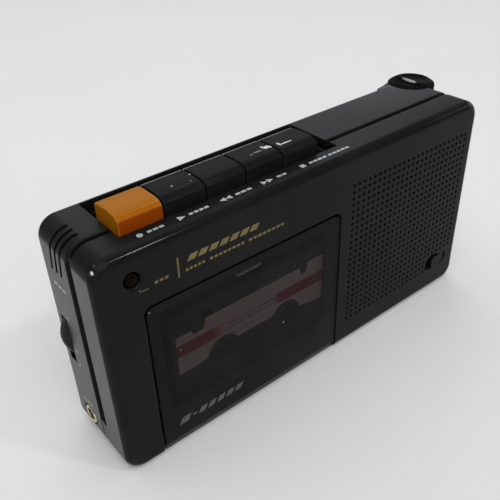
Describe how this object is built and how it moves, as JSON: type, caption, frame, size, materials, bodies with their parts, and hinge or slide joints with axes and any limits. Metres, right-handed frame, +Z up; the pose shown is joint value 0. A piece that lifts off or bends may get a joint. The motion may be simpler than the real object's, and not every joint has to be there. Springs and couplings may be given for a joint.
{
  "type": "microcassette dictation machine",
  "caption": "Pocket microcassette dictation machine: shell housing, hinged cassette door, piano keys, perforated speaker grille, tape deck, battery bay, volume wheel and corner dial.",
  "frame": {"origin": "centre of the long bottom face the machine stands on", "axes": "+X along the length from the key end to the speaker end, +Y from the front to the back, +Z up to the keys"},
  "size_m": [0.1299, 0.0301, 0.0661],
  "materials": {
    "housing": "fine matt texture",
    "door": "satin",
    "smoked_window": "smoked, polished",
    "orange_key": "semi-gloss, worn edges",
    "black_key": "semi-gloss, worn",
    "steel": "zinc plated",
    "nickel": "nickel plated",
    "brass": "turned",
    "rubber": "matt",
    "red_lens": "clear red, unlit",
    "speaker_cone": "pressed paper",
    "board": "lacquered",
    "capacitor": "shrink sleeve",
    "white_plastic": "moulded",
    "mechanism_plastic": "moulded",
    "cassette": "smoked shell with a paper label",
    "tape": "wound tape",
    "battery": "plain jacket"
  },
  "bodies": {
    "casing": {"front_housing": "housing", "rear_housing": "housing", "door_hinge_pin_left": "steel", "door_hinge_pin_right": "steel", "door_spring": "steel", "key_pivot_shaft": "steel", "key_bracket": "mechanism_plastic", "record_lamp": "red_lens", "microphone_capsule": "nickel", "earphone_jack": "brass", "volume_potentiometer": "nickel", "speed_switch": "nickel", "speaker_frame": "steel", "speaker_cone": "speaker_cone", "speaker_magnet": "steel", "circuit_board": "board", "amplifier_chip": "mechanism_plastic", "capacitor_large": "capacitor", "deck_plate": "steel", "motor": "steel", "drive_belt": "rubber", "cassette_shell": "cassette", "battery_lower": "battery", "battery_upper": "battery", "battery_spring_left": "steel", "battery_spring_right": "steel", "battery_contact_left": "nickel", "battery_contact_bridge": "nickel", "case_screw_1": "steel", "case_screw_2": "steel", "case_screw_3": "steel", "case_screw_4": "steel"},
    "cover": {"battery_cover": "housing"},
    "door": {"cassette_door": "door", "door_window": "smoked_window"},
    "record_lever": {"record_key": "orange_key", "key_spring_1": "steel"},
    "play_lever": {"play_key": "black_key", "key_spring_2": "steel"},
    "rewind_lever": {"rewind_key": "black_key", "key_spring_3": "steel"},
    "fast_forward_lever": {"fast_forward_key": "black_key", "key_spring_4": "steel"},
    "stop_lever": {"stop_eject_key": "black_key", "key_spring_5": "steel"},
    "volume": {"volume_wheel": "black_key"},
    "speed": {"speed_dial": "black_key"},
    "flywheel_assembly": {"flywheel": "brass", "capstan_shaft": "steel"},
    "motor_rotor": {"motor_pulley": "brass"},
    "supply": {"supply_spindle": "white_plastic", "supply_reel": "tape"},
    "takeup": {"takeup_spindle": "white_plastic", "takeup_reel": "tape"},
    "idler": {"idler_wheel": "rubber"},
    "head_carriage": {"head_slide": "steel", "record_play_head": "nickel", "erase_head": "mechanism_plastic", "pinch_roller_pin": "steel"},
    "pinch": {"pinch_roller": "rubber"}
  },
  "joints": [
    {"name": "record_key_press", "type": "hinge", "parent": "casing", "child": "record_lever", "pos_m": [-0.0459, -0.0046, 0.057], "axis": [-1, 0, 0], "range_deg": [0, 12], "stiffness_Nm_per_rad": 0.0002, "springref_deg": -11.46},
    {"name": "play_key_press", "type": "hinge", "parent": "casing", "child": "play_lever", "pos_m": [-0.0347, -0.0046, 0.057], "axis": [-1, 0, 0], "range_deg": [0, 12]},
    {"name": "rewind_key_press", "type": "hinge", "parent": "casing", "child": "rewind_lever", "pos_m": [-0.0235, -0.0046, 0.057], "axis": [-1, 0, 0], "range_deg": [0, 12], "stiffness_Nm_per_rad": 0.0002, "springref_deg": -11.46},
    {"name": "fast_forward_key_press", "type": "hinge", "parent": "casing", "child": "fast_forward_lever", "pos_m": [-0.0123, -0.0046, 0.057], "axis": [-1, 0, 0], "range_deg": [0, 12], "stiffness_Nm_per_rad": 0.0002, "springref_deg": -11.46},
    {"name": "stop_key_press", "type": "hinge", "parent": "casing", "child": "stop_lever", "pos_m": [-0.0011, -0.0046, 0.057], "axis": [-1, 0, 0], "range_deg": [0, 12], "stiffness_Nm_per_rad": 0.0002, "springref_deg": -11.46},
    {"name": "door_hinge", "type": "hinge", "parent": "casing", "child": "door", "pos_m": [-0.0224, -0.0103, 0.0027], "axis": [1, 0, 0], "range_deg": [0, 50]},
    {"name": "battery_cover_slide", "type": "slide", "parent": "casing", "child": "cover", "axis": [1, 0, 0], "range_m": [0, 0.052]},
    {"name": "volume_turn", "type": "hinge", "parent": "casing", "child": "volume", "pos_m": [-0.0551, 0.00825, 0.0316], "axis": [0, 1, 0], "range_deg": [-135, 135]},
    {"name": "speed_turn", "type": "hinge", "parent": "casing", "child": "speed", "pos_m": [0.0593, 0.0101, 0.059], "axis": [0, 0, 1], "range_deg": [-60, 60]},
    {"name": "flywheel_spin", "type": "hinge", "parent": "casing", "child": "flywheel_assembly", "pos_m": [-0.0056, 0, 0.0339], "axis": [0, 1, 0], "continuous": true},
    {"name": "motor_spin", "type": "hinge", "parent": "casing", "child": "motor_rotor", "pos_m": [-0.036, 0, 0.036], "axis": [0, 1, 0], "continuous": true},
    {"name": "takeup_spin", "type": "hinge", "parent": "casing", "child": "takeup", "pos_m": [-0.0097, 0, 0.02], "axis": [0, 1, 0], "continuous": true},
    {"name": "supply_spin", "type": "hinge", "parent": "casing", "child": "supply", "pos_m": [-0.0303, 0, 0.02], "axis": [0, 1, 0], "continuous": true},
    {"name": "idler_spin", "type": "hinge", "parent": "casing", "child": "idler", "pos_m": [-0.02, 0, 0.02], "axis": [0, 1, 0], "continuous": true},
    {"name": "head_slide_travel", "type": "slide", "parent": "casing", "child": "head_carriage", "axis": [0, 0, -1], "range_m": [0, 0.0024], "stiffness_N_per_m": 20, "springref_m": -0.006},
    {"name": "pinch_roller_spin", "type": "hinge", "parent": "head_carriage", "child": "pinch", "pos_m": [-0.0056, -0.0064, 0.04065], "axis": [0, 1, 0], "continuous": true}
  ],
  "couplings": [
    {"joint": "motor_spin", "follows": "flywheel_spin", "ratio": 4.75},
    {"joint": "takeup_spin", "follows": "flywheel_spin", "ratio": 0.15625},
    {"joint": "supply_spin", "follows": "flywheel_spin", "ratio": 0.10417},
    {"joint": "idler_spin", "follows": "flywheel_spin", "ratio": -0.2944},
    {"joint": "pinch_roller_spin", "follows": "flywheel_spin", "ratio": -0.33333},
    {"joint": "play_key_press", "follows": "head_slide_travel", "rad_per_m": 87.25}
  ]
}
